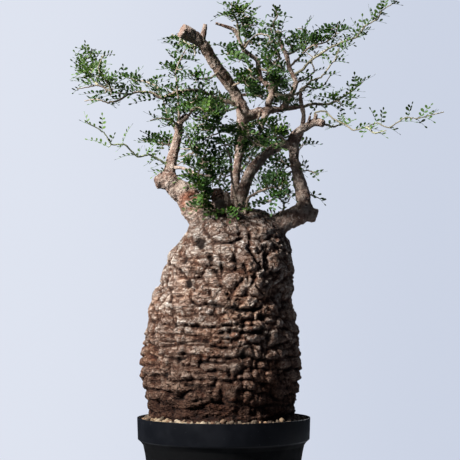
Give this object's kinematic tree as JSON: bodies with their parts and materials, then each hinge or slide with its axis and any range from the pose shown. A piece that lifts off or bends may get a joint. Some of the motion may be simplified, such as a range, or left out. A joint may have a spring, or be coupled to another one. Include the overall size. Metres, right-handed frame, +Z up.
{
  "type": "potted operculicarya",
  "caption": "Succulent tree with a knobbly bottle-shaped caudex, cut-back limbs and small pinnate leaves, in a round black nursery pot with pale top dressing.",
  "frame": {"origin": "on the pot's axis, on the plane of its flat base", "axes": "+Z up along the pot's axis, +X to the right as seen from the front, +Y to the back"},
  "size_m": [0.3938, 0.217, 0.6093],
  "materials": {
    "pot_plastic": "satin",
    "potting_mix": "matte",
    "pumice": "matte",
    "bark": "matte",
    "foliage": "satin"
  },
  "bodies": {
    "root": {"pot": "pot_plastic", "potting_mix": "potting_mix", "pumice_top_dressing": "pumice", "stem_arm_end": "foliage", "stem_arm_front": "foliage", "stem_back_centre": "foliage", "stem_back_right": "foliage", "stem_centre_front": "foliage", "stem_crown_left_back": "foliage", "stem_crown_low": "foliage", "stem_dark_branch": "foliage", "stem_far_right": "foliage", "stem_far_right_low": "foliage", "stem_far_right_side": "foliage", "stem_fork_back": "foliage", "stem_inner_back": "foliage", "stem_inner_front": "foliage", "stem_inner_right": "foliage", "stem_left_back": "foliage", "stem_left_dense": "foliage", "stem_left_front": "foliage", "stem_left_level": "foliage", "stem_left_rising": "foliage", "stem_left_shoot": "foliage", "stem_low_back": "foliage", "stem_low_front": "foliage", "stem_low_left": "foliage", "stem_low_right": "foliage", "stem_middle_back": "foliage", "stem_middle_front": "foliage", "stem_pink_spray": "foliage", "stem_right_back": "foliage", "stem_right_far": "foliage", "stem_right_high": "foliage", "stem_right_inner_back": "foliage", "stem_right_low_front": "foliage", "stem_right_middle": "foliage", "stem_right_side": "foliage", "stem_right_side_back": "foliage", "stem_right_top": "foliage", "stem_right_upper": "foliage", "stem_top_back": "foliage", "stem_top_inner": "foliage", "stem_top_left": "foliage", "stem_top_right": "foliage", "stem_upper_left": "foliage", "stem_upper_left_back": "foliage", "stem_upper_left_inner": "foliage", "stem_upper_left_low": "foliage", "stem_upper_left_outer": "foliage", "trunk": "bark"}
  },
  "joints": []
}
